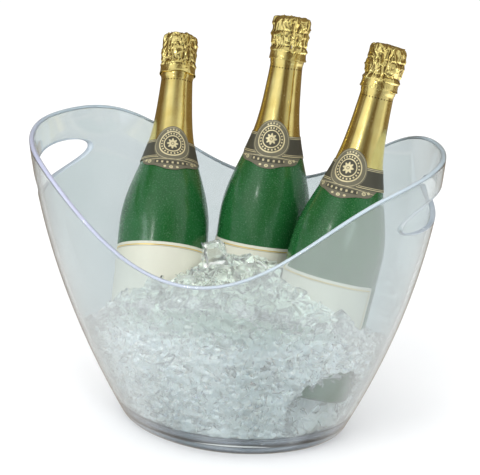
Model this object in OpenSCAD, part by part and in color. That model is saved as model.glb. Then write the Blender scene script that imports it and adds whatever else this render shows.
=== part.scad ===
// Oval clear wine bucket, set with three corked bottles in crushed ice.
// mm, +Z up. The bucket stands on z = 0, its length runs along X and its low
// sides face -Y (front) and +Y (back).

/* [Bucket] */
// height of the two high ends
bucket_h = 288; // [280:1:296]
// height of the rim at the middle of the long sides
rim_low_h = 202; // [196:1:208]
// length of the oval at the table
base_length = 215; // [211:1:219]
// width of the oval at the table
base_width = 150; // [147:1:153]
// length of the oval at the rim ends
rim_length = 387; // [381:1:393]
// width the flare would reach at full height
flare_width = 326; // [320:1:332]
// wall thickness
wall = 5; // [4:0.5:6]
// height of the inside floor
floor_h = 14; // [12:0.5:16]
// superellipse power of the plan outline (2 is an ellipse)
plan_power = 1.91; // [1.85:0.01:2.1]

/* [Handle holes] */
// height of the middle of each handle hole
hole_z = 244.5; // [242:0.5:247]
// width of each handle hole
hole_w = 128; // [110:1:134]
// height of each handle hole
hole_h = 29; // [22:1:32]

/* [Bottles] */
// largest radius of the glass body
body_r = 44; // [43:0.1:44]
// height of the glass bottle to its lip
glass_h = 314; // [312:0.5:316]
// bore of the neck, radius
bore_r = 9; // [8.5:0.1:9.4]
// running gap round the cork
cork_gap = 0.05; // [0.02:0.01:0.08]
// height of the wine in the bottle
fill_h = 258; // [240:1:262]

/* [Labels and foil] */
// top edge of the body label above the bottle's base
label_top = 112; // [104:1:116]
// bottom edge of the body label
label_bottom = 36; // [30:1:44]
// wrap angle of the body label
label_wrap = 170; // [120:1:178]
// height of the medallion's centre
medal_z = 213.5; // [212:0.5:215]
// radius of the neck medallion
medal_r = 17.5; // [15:0.5:18]
// height where the foil hood ends and the neck foil starts
tear_z = 290; // [289.5:0.1:290.5]

/* [Ice] */
// radius of the hollow beside the right bottle's base
hollow_r = 42; // [30:1:46]
// height of the ice at the middle
ice_mid = 170; // [164:1:174]
// height of the ice at the ends
ice_end = 134; // [128:1:138]
// gap between the ice and each bottle
ice_gap = 1.2; // [0.8:0.1:2]

/* [Hidden] */
$fn = 48;
NU = 72;          // points round the oval
e = 0.01;

// ---- bucket surfaces -------------------------------------------------------
function spow(v, p) = (v < 0 ? -1 : 1) * pow(abs(v), p);
// half length and half width of the outer surface at height z
function tz(z) = z / bucket_h;
function AA(z) = base_length/2 + (rim_length - base_length)/2
               * (1.744*tz(z) - 0.714*pow(tz(z),2) - 0.03*pow(tz(z),3));
function BB(z) = base_width/2 + (flare_width - base_width)/2
               * (1.501*tz(z) - 0.528*pow(tz(z),2) + 0.027*pow(tz(z),3));
// rim height round the oval
function rimf(a) = (1 + cos(2*a))/2 + 0.247*(1 - cos(4*a))/2
                 + 0.019*(cos(2*a) - cos(6*a))/2 - 0.028*(1 - cos(8*a))/2;
function rim(a) = rim_low_h + (bucket_h - rim_low_h)*rimf(a);
// point on the section at height z, moved in by d
function pt(a, z, d) =
    let (x = (AA(z) - d)*spow(cos(a), 2/plan_power),
         y = (BB(z) - d)*spow(sin(a), 2/plan_power)) [x, y, z];

function ring_pts(a0, z0, d0) = [for (i = [0:NU-1]) let (a = 360*i/NU) pt(a, z0, d0)];
// wall rows run from 12 mm up to the rim, so each point has its own height
function wall_pts(s, d) = [for (i = [0:NU-1]) let (a = 360*i/NU,
    z = 12 + (rim(a) - 12 - 1.6)*s) pt(a, z, d)];
function rim_pts(dz, d) = [for (i = [0:NU-1]) let (a = 360*i/NU) pt(a, rim(a) + dz, d)];
function in_pts(s, d, z0) = [for (i = [0:NU-1]) let (a = 360*i/NU,
    z = z0 + (rim(a) - z0 - 1.6)*s) pt(a, z, d)];

// closed solid from a stack of rings between two centre points
function flat(v) = [for (r = v) each r];
function stack_faces(n, m) = concat(
    [for (i = [0:m-1]) [0, 1 + i, 1 + (i+1)%m]],
    [for (k = [0:n-2]) for (i = [0:m-1]) let (p = 1 + k*m, q = p + m, j = (i+1)%m)
        each [[p+i, q+i, q+j], [p+i, q+j, p+j]]],
    [for (i = [0:m-1]) let (p = 1 + (n-1)*m) [p+i, n*m + 1, p + (i+1)%m]]);
module stack(bottom, rings, top) {
    m = len(rings[0]);
    polyhedron(points = concat([bottom], flat(rings), [top]),
               faces = stack_faces(len(rings), m), convexity = 8);
}

SO = [0, 0.08, 0.18, 0.3, 0.43, 0.57, 0.72, 0.87, 1];
SI = [1, 0.84, 0.67, 0.5, 0.34, 0.2, 0.09, 0];
module bucket_body() {
    stack([0, 0, 0],
        concat(
            [ring_pts(0, 0, 60), ring_pts(0, 0, 10), ring_pts(0, 0.9, 5.4), ring_pts(0, 3.2, 2.3),
             ring_pts(0, 6.8, 0.5)],
            [for (s = SO) wall_pts(s, 0)],
            [rim_pts(-0.3, 0.7), rim_pts(0, wall/2), rim_pts(-0.3, wall - 0.7)],
            [for (s = SI) in_pts(s, wall, floor_h + 12)],
            [ring_pts(0, floor_h + 4.5, wall + 2.2), ring_pts(0, floor_h + 1.2, wall + 6),
             ring_pts(0, floor_h, wall + 11)]),
        [0, 0, floor_h]);
}
function lens(w, h, n) = [for (i = [0:n-1]) let (a = 360*i/n)
    [w/2*spow(cos(a), 2/2.07), h/2*spow(sin(a), 2/2.07)]];
module hole_cut() {
    for (sx = [-1, 1])
        translate([sx > 0 ? 120 : -240, 0, hole_z])
            rotate([90, 0, 90]) linear_extrude(height = 120) polygon(lens(hole_w, hole_h, 44));
}
module bucket() {
    color([0.78, 0.85, 0.88, 0.35]) difference() { bucket_body(); hole_cut(); }
}

// ---- where the three bottles lie ------------------------------------------
// base centre, rotation [x, y] of the axis, twist of the labels, lift direction
POS_L = [-75, -22.2, 59.4]; ROT_L = [-32.9, -5.6, 0]; TW_L = 22.4;
POS_M = [3, 32, 56.5];    ROT_M = [-16.47, 3.3, 0];  TW_M = 2.4;
POS_R = [73, -24, 56];    ROT_R = [-18.56, 9.4, 0];  TW_R = -13.7;
function axis_of(r) = [sin(r[1])*cos(r[0]), -sin(r[0]), cos(r[1])*cos(r[0])];
LIFT_L = [-0.05, 0.2, 1];
module at_l() { translate(POS_L) rotate(ROT_L) rotate([0, 0, TW_L]) children(); }
module at_m() { translate(POS_M) rotate(ROT_M) rotate([0, 0, TW_M]) children(); }
module at_r() { translate(POS_R) rotate(ROT_R) rotate([0, 0, TW_R]) children(); }

// ---- ice --------------------------------------------------------------------
function bump(x, y) = 2.6*sin(9*x + 40) * cos(8*y) + 1.8*sin(17*x - 13*y) + 1.2*cos(23*y + 11*x);
function ease(t) = let (u = max(0, min(1, t))) u*u*(3 - 2*u);
// a heap against the front, falling away to both ends and to the back
function ice_z(x, y) = ice_end + (ice_mid - ice_end)*exp(-pow((x - 8)/(x > 8 ? 112 : 80), 2))
                     + 3*exp(-pow((x + 66)/34, 2)) - 0.05*y - 0.25*max(y - 10, 0)
                     - ease((-x - 80)/45)*(22 + 0.42*max(y + 75, 0))
                     - ease((x - 95)/45)*(12 + 0.45*max(y + 60, 0)) + bump(x, y);
// hollow in the ice beside the right bottle's base
HOLLOW = [110, -50, 50];
ICE_N = 48;
ICE_IN = 0.8;
function icept(a, z, k) =
    let (x = k*(AA(z) - wall - ICE_IN)*spow(cos(a), 2/plan_power),
         y = k*(BB(z) - wall - ICE_IN)*spow(sin(a), 2/plan_power)) [x, y, z];
function ice_edge(a) = let (q = icept(a, 140, 0.985)) ice_z(q[0], q[1]);
function ice_wall(s) = [for (i = [0:ICE_N-1]) let (a = 360*i/ICE_N)
    icept(a, floor_h + 16 + (ice_edge(a) - floor_h - 16)*s, 1)];
function ice_low(z, d) = [for (i = [0:ICE_N-1]) let (a = 360*i/ICE_N) pt(a, z, wall + d)];
function ice_top(k) = [for (i = [0:ICE_N-1]) let (a = 360*i/ICE_N, z0 = ice_edge(a),
    q = icept(a, z0, k)) [q[0], q[1], ice_z(q[0], q[1])]];
module ice_body() {
    stack([0, 0, floor_h + 1],
        concat([ice_low(floor_h + 1, 12.5), ice_low(floor_h + 2.6, 7.4), ice_low(floor_h + 6.5, 3.4)],
               [for (s = [0, 0.25, 0.5, 0.75, 1]) ice_wall(s)],
               [for (k = [0.93, 0.82, 0.7, 0.58, 0.46, 0.34, 0.22, 0.1]) ice_top(k)]),
        [0, 0, ice_z(0, 0)]);
}
module pocket(h) { translate([0, 0, -ice_gap]) cylinder(r = body_r + ice_gap, h = h); }
module ice_bed() {
    color([0.85, 0.92, 0.95, 0.8]) difference() {
        ice_body();
        at_m() pocket(280);
        at_r() pocket(280);
        hull() { at_l() pocket(210); translate(160*LIFT_L) at_l() pocket(210); }
        translate(HOLLOW) sphere(r = hollow_r, $fn = 20);
    }
}
// loose lumps lying on the bed: a skewed, chipped block
module lump(s) {
    polyhedron(points = [
        [-0.5, -0.42, -0.5], [0.42, -0.5, -0.5], [0.5, 0.4, -0.5], [-0.4, 0.5, -0.5],
        [-0.55, -0.4, 0.1], [0.5, -0.52, 0.05], [0.55, 0.45, 0.12], [-0.45, 0.52, 0.08],
        [-0.3, -0.3, 0.5], [0.28, -0.38, 0.44], [0.34, 0.26, 0.5], [-0.26, 0.36, 0.42]] * s,
        faces = [[0, 1, 2], [0, 2, 3],
            [0, 5, 1], [0, 4, 5], [1, 6, 2], [1, 5, 6], [2, 7, 3], [2, 6, 7], [3, 4, 0], [3, 7, 4],
            [4, 9, 5], [4, 8, 9], [5, 10, 6], [5, 9, 10], [6, 11, 7], [6, 10, 11], [7, 8, 4], [7, 11, 8],
            [8, 11, 9], [9, 11, 10]]);
}
LUMP_C = [0.85, 0.92, 0.95, 0.7];
function on_ice(x, y, up) = [x, y, ice_z(x, y) + up];
module ice_lump_1() { color(LUMP_C) translate(on_ice(-13, -24, 8)) rotate([8, -14, 20]) lump(22); }
module ice_lump_2() { color(LUMP_C) translate(on_ice(27, -48, 7)) rotate([20, 10, 50]) lump(20); }
module ice_lump_3() { color(LUMP_C) translate(on_ice(3, -66, 5)) rotate([-15, 30, 10]) lump(18); }
module ice_lump_4() { color(LUMP_C) translate(on_ice(-24, -76, 5)) rotate([30, 12, 35]) lump(16); }

// ---- bottle -----------------------------------------------------------------
// outer profile of the shoulder, [radius, depth below the lip]
SHOULDER = [for (p = [[44, 188], [43.9, 178], [43.3, 170], [42.2, 162], [40.6, 154], [38.5, 146],
    [36, 138], [33.3, 130], [30.5, 122], [27.8, 114], [25.3, 106], [23.1, 98], [21.3, 90],
    [19.9, 82], [18.8, 74], [17.9, 66], [17.2, 58], [16.6, 50], [16, 42], [15.5, 34]])
    [min(body_r, p[0]), glass_h - p[1]]];
NS = len(SHOULDER);
GW = 3.4;   // glass thickness in the body
BASE_OUT = [[0, 28], [8, 26.6], [16, 22.4], [24, 15.8], [30, 9.4], [34, 4], [36.4, 1.1], [38.6, 0]];
BASE_IN = [[0, 33], [9, 31.4], [18, 27], [26, 21], [32, 15.6], [35.4, 12.6], [38, 12.2]];
LIP = glass_h;
// inner radius of the shoulder at its point i
function sh_in(i) = SHOULDER[i][0] - GW - (i > 12 ? 1.4 : 0.9);
module glass() {
    rotate_extrude($fn = 96) polygon(concat(
        BASE_OUT, [[41.4, 0.9], [43, 2.9], [body_r - 0.3, 6], [body_r, 12]],
        SHOULDER,
        [[15.2, LIP-28], [15.9, LIP-26.6], [16, LIP-22.4], [15, LIP-20.4], [13.9, LIP-19], [13.9, LIP-12],
         [14.6, LIP-10.4], [14.7, LIP-2.4], [13.8, LIP-0.4], [12.6, LIP], [bore_r, LIP]],
        [[bore_r, LIP-38], [10.4, LIP-48]],
        [for (i = [NS-3:-1:1]) [sh_in(i), SHOULDER[i][1]]],
        [[body_r - GW, LIP-192], [body_r - GW, 17], [body_r - GW - 1, 14]],
        [for (i = [len(BASE_IN)-1:-1:0]) BASE_IN[i]]));
}
function in_r(z) = lookup(z, concat([[14, body_r - GW - 1], [17, body_r - GW], [LIP-192, body_r - GW]],
    [for (i = [1:NS-3]) [SHOULDER[i][1], sh_in(i)]], [[LIP-48, 10.4], [LIP-38, bore_r]]));
module wine() {
    rotate_extrude($fn = 64) polygon(concat(
        [for (p = BASE_IN) [p[0], p[1] + 0.3]],
        [[body_r - GW - 1.2, 14.6], [body_r - GW - 0.25, 17.3], [body_r - GW - 0.25, LIP-192.4]],
        [for (i = [1:NS-3]) if (SHOULDER[i][1] < fill_h - 1) [sh_in(i) - 0.25, SHOULDER[i][1] - 0.3]],
        [[in_r(fill_h) - 0.25, fill_h], [0, fill_h]]));
}
module cork() {
    rotate_extrude($fn = 64) polygon([[0, LIP-26], [bore_r - cork_gap - 0.8, LIP-26],
        [bore_r - cork_gap, LIP-25], [bore_r - cork_gap, LIP+0.15], [11, LIP+0.3],
        [13, LIP+2], [13.8, LIP+6], [13.6, LIP+10], [12.4, LIP+13.2],
        [9, LIP+14.4], [0, LIP+14.8]]);
}
WIRE_R = 0.6;
CAGE_R = 15.75;
module muselet() {
    translate([0, 0, LIP-15.6]) rotate_extrude($fn = 40) translate([CAGE_R, 0]) circle(r = WIRE_R, $fn = 8);
    translate([0, 0, LIP+12.4]) rotate_extrude($fn = 40) translate([CAGE_R - 0.8, 0]) circle(r = WIRE_R, $fn = 8);
    for (a = [20, 110, 200, 290]) rotate([0, 0, a])
        translate([CAGE_R, 0, LIP-15.6]) rotate([0, -1.64, 0]) cylinder(r = WIRE_R, h = 28.1, $fn = 8);
    // twisted eye of the closing ring
    rotate([0, 0, 65]) translate([CAGE_R, 0, LIP-15.6]) rotate([0, -4, 0]) translate([0, 0, -4]) cylinder(r = 0.5, h = 4, $fn = 8);
}
module cap() {
    rotate_extrude($fn = 64) polygon([[0, LIP+15.1], [9, LIP+14.7], [12.6, LIP+13.9],
        [13.9, LIP+12.3], [14.2, LIP+12.3], [14.1, LIP+13.4], [12.8, LIP+14.5], [9, LIP+15.3], [0, LIP+15.7]]);
}
module hood() {
    rotate_extrude($fn = 96) polygon([
        [17.1, tear_z+0.4], [16.9, LIP-16], [17.1, LIP], [17.2, LIP+11], [16.4, LIP+14.6], [13, LIP+16.8], [0, LIP+17.3],
        [0, LIP+18], [13.2, LIP+17.6], [17.2, LIP+15.2], [18.1, LIP+11.2], [18.2, LIP], [17.9, LIP-16], [18, tear_z+0.4]]);
}
FO = 0.1;   // foil stands this far off the glass
FT = 0.35;  // foil thickness
function g_r(z) = lookup(z, concat([[0, body_r]], [for (p = SHOULDER) [p[1], p[0]]],
    [[LIP-28, 15.2], [LIP-26.6, 15.9], [LIP-22.4, 16]]));
FZ = concat([for (d = [114:-4:34]) LIP - d], [LIP-28, LIP-26.6, tear_z]);
module neck_foil() {
    rotate_extrude($fn = 96) polygon(concat(
        [for (z = FZ) [g_r(z) + FO, z]],
        [for (i = [len(FZ)-1:-1:0]) [g_r(FZ[i]) + FO + FT, FZ[i]]]));
}
LZ = [for (d = [130:-4:82]) LIP - d];
MZ = medal_z;
module neck_label() {
    difference() {
        rotate_extrude($fn = 96) polygon(concat(
            [for (z = LZ) [g_r(z) + FO + FT + 0.1, z]],
            [for (i = [len(LZ)-1:-1:0]) [g_r(LZ[i]) + FO + FT + 0.4, LZ[i]]]));
        // front: medallion, side bands and ribbon scroll
        rotate([90, 0, 0]) linear_extrude(height = 60) difference() {
            translate([-60, MZ - 50]) square([120, 90]);
            translate([0, MZ]) circle(r = medal_r, $fn = 64);
            translate([-59, MZ - 15.5]) square([118, 20]);
            polygon([[-59, MZ-15], [-30, MZ-17.5], [-25, MZ-21.5], [-18, MZ-24], [-10, MZ-25], [-4, MZ-28.1],
                [4, MZ-28.1], [10, MZ-25], [18, MZ-24], [25, MZ-21.5], [30, MZ-17.5], [59, MZ-15]]);
        }
        // back: only the band goes round
        translate([-60, 0, MZ + 4.5]) cube([120, 60, 40]);
        translate([-60, 0, MZ - 49.5]) cube([120, 60, 34]);
    }
}
module body_label() {
    rotate([0, 0, -90 - label_wrap/2]) rotate_extrude(angle = label_wrap, $fn = 96)
        translate([body_r + 0.1, label_bottom]) square([0.3, label_top - label_bottom]);
}

GLASS_C = [0.11, 0.32, 0.17, 0.75];
GOLD_C = [0.86, 0.76, 0.36];
TAUPE_C = [0.55, 0.5, 0.42];
CREAM_C = [0.93, 0.92, 0.86];
module bottle_left() { color(GLASS_C) at_l() glass(); }
module wine_left() { color([0.8, 0.78, 0.4, 0.4]) at_l() wine(); }
module neck_foil_left() { color(GOLD_C) at_l() neck_foil(); }
module neck_label_left() { color(TAUPE_C) at_l() neck_label(); }
module body_label_left() { color(CREAM_C) at_l() body_label(); }
module cork_left() { color([0.8, 0.66, 0.48]) at_l() cork(); }
module muselet_left() { color([0.75, 0.75, 0.75]) at_l() muselet(); }
module cap_left() { color([0.8, 0.7, 0.3]) at_l() cap(); }
module hood_left() { color(GOLD_C) at_l() hood(); }

module bottle_middle() { color(GLASS_C) at_m() glass(); }
module wine_middle() { color([0.8, 0.78, 0.4, 0.4]) at_m() wine(); }
module neck_foil_middle() { color(GOLD_C) at_m() neck_foil(); }
module neck_label_middle() { color(TAUPE_C) at_m() neck_label(); }
module body_label_middle() { color(CREAM_C) at_m() body_label(); }
module cork_middle() { color([0.8, 0.66, 0.48]) at_m() cork(); }
module muselet_middle() { color([0.75, 0.75, 0.75]) at_m() muselet(); }
module cap_middle() { color([0.8, 0.7, 0.3]) at_m() cap(); }
module hood_middle() { color(GOLD_C) at_m() hood(); }

module bottle_right() { color(GLASS_C) at_r() glass(); }
module wine_right() { color([0.8, 0.78, 0.4, 0.4]) at_r() wine(); }
module neck_foil_right() { color(GOLD_C) at_r() neck_foil(); }
module neck_label_right() { color(TAUPE_C) at_r() neck_label(); }
module body_label_right() { color(CREAM_C) at_r() body_label(); }
module cork_right() { color([0.8, 0.66, 0.48]) at_r() cork(); }
module muselet_right() { color([0.75, 0.75, 0.75]) at_r() muselet(); }
module cap_right() { color([0.8, 0.7, 0.3]) at_r() cap(); }
module hood_right() { color(GOLD_C) at_r() hood(); }

bucket();
ice_bed();
ice_lump_1();
ice_lump_2();
ice_lump_3();
ice_lump_4();
bottle_left();
wine_left();
neck_foil_left();
neck_label_left();
body_label_left();
cork_left();
muselet_left();
cap_left();
hood_left();
bottle_middle();
wine_middle();
neck_foil_middle();
neck_label_middle();
body_label_middle();
cork_middle();
muselet_middle();
cap_middle();
hood_middle();
bottle_right();
wine_right();
neck_foil_right();
neck_label_right();
body_label_right();
cork_right();
muselet_right();
cap_right();
hood_right();
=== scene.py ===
import bpy, bmesh, math
import numpy as np
from mathutils import Vector, Matrix, kdtree, noise
from mathutils.geometry import delaunay_2d_cdt


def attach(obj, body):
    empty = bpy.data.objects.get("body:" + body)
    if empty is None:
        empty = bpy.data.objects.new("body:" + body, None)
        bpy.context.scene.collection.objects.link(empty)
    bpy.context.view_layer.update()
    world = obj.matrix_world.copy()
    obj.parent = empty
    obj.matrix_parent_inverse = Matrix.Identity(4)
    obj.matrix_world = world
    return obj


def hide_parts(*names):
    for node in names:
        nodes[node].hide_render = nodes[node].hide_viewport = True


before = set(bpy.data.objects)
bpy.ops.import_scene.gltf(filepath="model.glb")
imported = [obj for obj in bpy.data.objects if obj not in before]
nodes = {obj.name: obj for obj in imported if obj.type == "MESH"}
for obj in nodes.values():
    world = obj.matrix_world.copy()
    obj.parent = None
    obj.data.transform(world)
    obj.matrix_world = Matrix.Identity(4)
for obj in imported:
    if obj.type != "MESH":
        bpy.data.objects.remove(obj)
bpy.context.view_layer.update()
MM = 0.001
rng = np.random.default_rng(7)

# ---------------------------------------------------------------- camera
AZ, EL, ROLL = math.radians(15.487), math.radians(22.069), math.radians(0.665)
back = Vector((math.sin(AZ) * math.cos(EL), -math.cos(AZ) * math.cos(EL), math.sin(EL)))
right = Vector((math.cos(AZ), math.sin(AZ), 0))
up = back.cross(right)
cR = right * math.cos(ROLL) + up * math.sin(ROLL)
cU = -right * math.sin(ROLL) + up * math.cos(ROLL)
cam_data = bpy.data.cameras.new("camera")
cam = bpy.data.objects.new("camera", cam_data)
bpy.context.scene.collection.objects.link(cam)
cam_data.sensor_width = 36
cam_data.lens = 127.29
cam_data.clip_end = 50
m = Matrix((cR, cU, back)).transposed().to_4x4()
m.translation = Vector((0.39829, -1.41765, 0.78815))
cam.matrix_world = m
bpy.context.scene.camera = cam
bpy.context.scene.view_settings.view_transform = "Standard"

# ---------------------------------------------------------------- bucket functions (mm)
PN = 1.91
def spow(v, p): return np.sign(v) * np.abs(v) ** p
def AA(z):
    t = z / 288.0
    return 107.5 + 86 * (1.744 * t - 0.714 * t * t - 0.03 * t ** 3)
def BB(z):
    t = z / 288.0
    return 75 + 88 * (1.501 * t - 0.528 * t * t + 0.027 * t ** 3)
def rimf(a):
    return ((1 + np.cos(2 * a)) / 2 + 0.247 * (1 - np.cos(4 * a)) / 2
            + 0.019 * (np.cos(2 * a) - np.cos(6 * a)) / 2 - 0.028 * (1 - np.cos(8 * a)) / 2)
def rim(a): return 202 + 86 * rimf(a)
def pt(a, z, d):
    return np.stack([(AA(z) - d) * spow(np.cos(a), 2 / PN), (BB(z) - d) * spow(np.sin(a), 2 / PN),
                     z + 0 * a], -1)
def end_x(y, z, d):
    """x on the right-hand end wall for given y, z"""
    A, B = AA(z) - d, BB(z) - d
    return A * np.clip(1 - (np.abs(y) / B) ** PN, 1e-6, None) ** (1 / PN)

# ---------------------------------------------------------------- helpers
def new_obj(name, verts, faces, smooth=True, matrix=None, edges=()):
    me = bpy.data.meshes.new(name)
    me.from_pydata([tuple(v) for v in verts], list(edges), [tuple(int(i) for i in f) for f in faces])
    me.validate()
    if smooth:
        me.polygons.foreach_set("use_smooth", np.ones(len(me.polygons), bool))
    me.update()
    ob = bpy.data.objects.new(name, me)
    bpy.context.scene.collection.objects.link(ob)
    if matrix is not None:
        ob.matrix_world = matrix
    return ob

def settle(ob):
    """moves the mesh itself to where it stands; the materials keep the piece's own coordinates"""
    me = ob.data; n = len(me.vertices)
    co = np.zeros(n * 3, np.float32); me.vertices.foreach_get("co", co)
    a = me.attributes.new("own", "FLOAT_VECTOR", "POINT"); a.data.foreach_set("vector", co)
    me.transform(ob.matrix_world.copy()); ob.matrix_world = Matrix.Identity(4)
    me.update()

def recalc(ob):
    bm = bmesh.new(); bm.from_mesh(ob.data)
    bmesh.ops.recalc_face_normals(bm, faces=bm.faces)
    bm.to_mesh(ob.data); bm.free(); ob.data.update()

def attr(ob, name, values):
    """stores one number per vertex"""
    a = ob.data.attributes.new(name, "FLOAT", "POINT")
    a.data.foreach_set("value", np.asarray(values, np.float32))

def pnoise(p, scale, seed=0.0):
    """noise at each row of p (mm)"""
    o = Vector((seed * 17.3, seed * 5.1, -seed * 9.7))
    return np.array([noise.noise(Vector(q) * scale + o) for q in p])

def smoothstep(x, a, b):
    t = np.clip((x - a) / (b - a), 0, 1); return t * t * (3 - 2 * t)

class Mat:
    """small wrapper for a Principled material"""
    def __init__(self, name, **kw):
        self.m = bpy.data.materials.new(name)
        self.own = False
        self.m.use_nodes = True
        self.t = self.m.node_tree
        self.b = self.t.nodes["Principled BSDF"]
        for k, v in kw.items():
            self.set(k, v)
    def set(self, k, v):
        n = {"base": "Base Color", "rough": "Roughness", "metal": "Metallic", "trans": "Transmission Weight",
             "ior": "IOR", "coat": "Coat Weight", "coatr": "Coat Roughness", "sss": "Subsurface Weight",
             "sssr": "Subsurface Radius", "ssss": "Subsurface Scale", "spec": "Specular IOR Level",
             "sheen": "Sheen Weight", "alpha": "Alpha", "aniso": "Anisotropic"}[k]
        if isinstance(v, tuple) and len(v) == 3 and n in ("Base Color",):
            v = v + (1.0,)
        self.b.inputs[n].default_value = v
    def node(self, kind, **kw):
        n = self.t.nodes.new(kind)
        for k, v in kw.items():
            if k in n.inputs:
                n.inputs[k].default_value = v
            else:
                setattr(n, k, v)
        return n
    def link(self, a, b): self.t.links.new(a, b)
    def coords(self, which="Object"):
        if self.own:
            n = self.node("ShaderNodeAttribute"); n.attribute_name = "own"
            return n.outputs["Vector"]
        return self.node("ShaderNodeTexCoord").outputs[which]
    def noise(self, scale, detail=4, rough=0.5, co=None, dist=0.0):
        n = self.node("ShaderNodeTexNoise")
        n.inputs["Scale"].default_value = scale
        n.inputs["Detail"].default_value = detail
        n.inputs["Roughness"].default_value = rough
        n.inputs["Distortion"].default_value = dist
        self.link(co or self.coords(), n.inputs["Vector"])
        return n.outputs["Fac"]
    def ramp(self, fac, stops):
        n = self.node("ShaderNodeValToRGB")
        e = n.color_ramp.elements
        while len(e) > 1: e.remove(e[0])
        e[0].position = stops[0][0]; e[0].color = tuple(stops[0][1]) + (1,)
        for p, c in stops[1:]:
            x = e.new(p); x.color = tuple(c) + (1,)
        self.link(fac, n.inputs["Fac"])
        return n.outputs["Color"]
    def maprange(self, fac, a, b, c, d):
        n = self.node("ShaderNodeMapRange")
        for k, v in (("From Min", a), ("From Max", b), ("To Min", c), ("To Max", d)):
            n.inputs[k].default_value = v
        self.link(fac, n.inputs["Value"])
        return n.outputs["Result"]
    def mixc(self, fac, a, b, mode="MIX"):
        n = self.node("ShaderNodeMix", data_type="RGBA", blend_type=mode)
        for s, v in ((n.inputs[0], fac), (n.inputs[6], a), (n.inputs[7], b)):
            if hasattr(v, "is_linked") or hasattr(v, "links"):
                self.link(v, s)
            elif isinstance(v, tuple):
                s.default_value = v + (1.0,) if len(v) == 3 else v
            else:
                s.default_value = v
        return n.outputs[2]
    def math(self, op, a, b=0.0):
        n = self.node("ShaderNodeMath", operation=op)
        for s, v in ((n.inputs[0], a), (n.inputs[1], b)):
            if hasattr(v, "links"): self.link(v, s)
            else: s.default_value = v
        return n.outputs[0]
    def attr(self, name):
        n = self.node("ShaderNodeAttribute"); n.attribute_name = name
        return n.outputs["Fac"]
    def bump(self, h, strength=0.3, dist=0.001):
        n = self.node("ShaderNodeBump")
        n.inputs["Strength"].default_value = strength
        n.inputs["Distance"].default_value = dist
        self.link(h, n.inputs["Height"])
        self.link(n.outputs["Normal"], self.b.inputs["Normal"])
        return n
    def to(self, out, k):
        self.link(out, self.b.inputs[k])

def assign(ob, mat):
    ob.data.materials.clear()
    ob.data.materials.append(mat.m)

# ---------------------------------------------------------------- materials
def mat_acrylic():
    # painted shade: the grey-blue tint of the clear acrylic stands in for the grey studio seen through its walls
    m = Mat("clear_acrylic", base=(0.60, 0.665, 0.675), rough=0.03, ior=1.45, trans=0.95, coat=0.8, coatr=0.04)
    n = m.noise(14, 3)
    m.to(m.ramp(n, [(0.3, (0.585, 0.650, 0.661)), (0.7, (0.625, 0.687, 0.696))]), "Base Color")
    m.to(m.maprange(m.noise(60, 3), 0.4, 0.7, 0.015, 0.05), "Roughness")
    m.bump(n, 0.05, 0.004)
    return m

def mat_rim():
    # painted highlight for the rim; by position it also paints reflections: lavender at the front left, whiter at the
    # front right, blue-grey at the back
    m = Mat("rim_painted_highlight", base=(0.66, 0.65, 0.80), rough=0.35)
    sep = m.node("ShaderNodeSeparateXYZ"); m.link(m.coords(), sep.inputs[0])
    along = m.mixc(m.maprange(sep.outputs["X"], -0.10, 0.06, 0, 1), (0.70, 0.67, 0.85), (0.74, 0.80, 0.86))
    col = m.mixc(m.maprange(sep.outputs["Y"], -0.06, 0.03, 0, 1), along, (0.62, 0.71, 0.78))
    m.to(m.mixc(m.maprange(m.noise(22, 3), 0.3, 0.7, 0.25, 0.0), col, (0.50, 0.55, 0.66)), "Base Color")
    return m

def mat_edge(name, c, c2, trans):
    """sawn and flame-polished edges: a part-opaque colour paints the light they carry, and, made dark, the shade inside
    the foot
    """
    m = Mat(name, base=c, rough=0.18, ior=1.45, trans=trans)
    m.to(m.ramp(m.noise(30, 3), [(0.3, c), (0.7, c2)]), "Base Color")
    m.to(m.maprange(m.noise(220, 3), 0.3, 0.7, 0.10, 0.28), "Roughness")
    return m

def mat_glass():
    m = Mat("green_bottle_glass", base=(0.012, 0.110, 0.028), rough=0.15, ior=1.5, coat=0.16, coatr=0.14)
    m.own = True
    mist = m.noise(900, 2, 0.6)
    big = m.noise(16, 3, 0.55)
    col = m.ramp(big, [(0.25, (0.004, 0.062, 0.012)), (0.55, (0.007, 0.084, 0.018)), (0.8, (0.016, 0.116, 0.031))])
    spk = m.maprange(mist, 0.46, 0.70, 0.0, 0.11)
    col = m.mixc(spk, col, (0.22, 0.46, 0.25))
    m.to(col, "Base Color")
    m.to(m.maprange(mist, 0.3, 0.7, 0.12, 0.30), "Roughness")
    m.bump(mist, 0.09, 0.0003)
    return m

def mat_foil(crumple=False):
    m = Mat("gold_foil_hood" if crumple else "gold_foil_neck", base=(0.88, 0.74, 0.28), metal=1.0, rough=0.25)
    m.own = True
    n = m.noise(800, 4, 0.65)
    big = m.noise(60, 3, 0.5)
    col = m.ramp(big, [(0.3, (0.82, 0.66, 0.22)), (0.6, (0.89, 0.75, 0.29)), (0.85, (0.93, 0.81, 0.36))])
    if crumple:
        # painted shade: the hood foil turns dark brown in the crumple creases
        cav = m.attr("cav")
        col = m.mixc(m.maprange(cav, 0.25, 0.9, 0.0, 0.85), col, (0.20, 0.12, 0.03))
    else:
        # a ring of small perforations just under the hood
        sep = m.node("ShaderNodeSeparateXYZ"); m.link(m.coords(), sep.inputs[0])
        ang = m.math("ARCTAN2", sep.outputs["Y"], sep.outputs["X"])
        dash = m.math("GREATER_THAN", m.math("SINE", m.math("MULTIPLY", ang, 34.0)), 0.1)
        near = m.math("LESS_THAN", m.math("ABSOLUTE", m.math("SUBTRACT", sep.outputs["Z"], 0.2815)), 0.00055)
        col = m.mixc(m.math("MULTIPLY", m.math("MULTIPLY", dash, near), 0.9), col, (0.10, 0.06, 0.02))
    m.to(col, "Base Color")
    m.to(m.maprange(n, 0.3, 0.75, 0.14, 0.30), "Roughness")
    m.bump(n, 0.14 if crumple else 0.10, 0.0004)
    return m

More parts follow.
